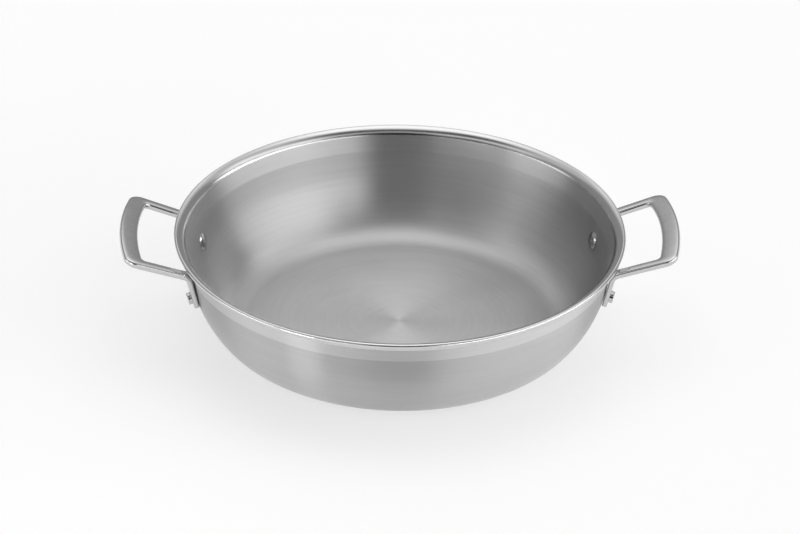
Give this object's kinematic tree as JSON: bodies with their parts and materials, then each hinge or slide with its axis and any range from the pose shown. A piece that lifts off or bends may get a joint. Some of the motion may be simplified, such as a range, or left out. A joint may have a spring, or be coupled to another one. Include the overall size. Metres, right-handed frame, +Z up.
{
  "type": "two-handled saute pan",
  "caption": "Wide round steel stovetop pan with a flat base, curved flared wall and a riveted loop handle on each side.",
  "frame": {"origin": "centre of the flat base, on the surface that the pan stands on", "axes": "+X through the middle of one loop handle, +Z up out of the pan's mouth"},
  "size_m": [0.3894, 0.314, 0.081],
  "materials": {
    "liner_steel": "satin, brushed in circles",
    "core_aluminium": "mill finish, hidden between the steel plies",
    "shell_steel": "satin, brushed round the wall, lip polished",
    "handle_steel": "cast and polished",
    "rivet_steel": "polished"
  },
  "bodies": {
    "root": {"inner_steel_liner": "liner_steel", "aluminium_core": "core_aluminium", "outer_steel_shell": "shell_steel", "left_handle": "handle_steel", "right_handle": "handle_steel", "left_front_rivet": "rivet_steel", "left_rear_rivet": "rivet_steel", "right_front_rivet": "rivet_steel", "right_rear_rivet": "rivet_steel"}
  },
  "joints": []
}
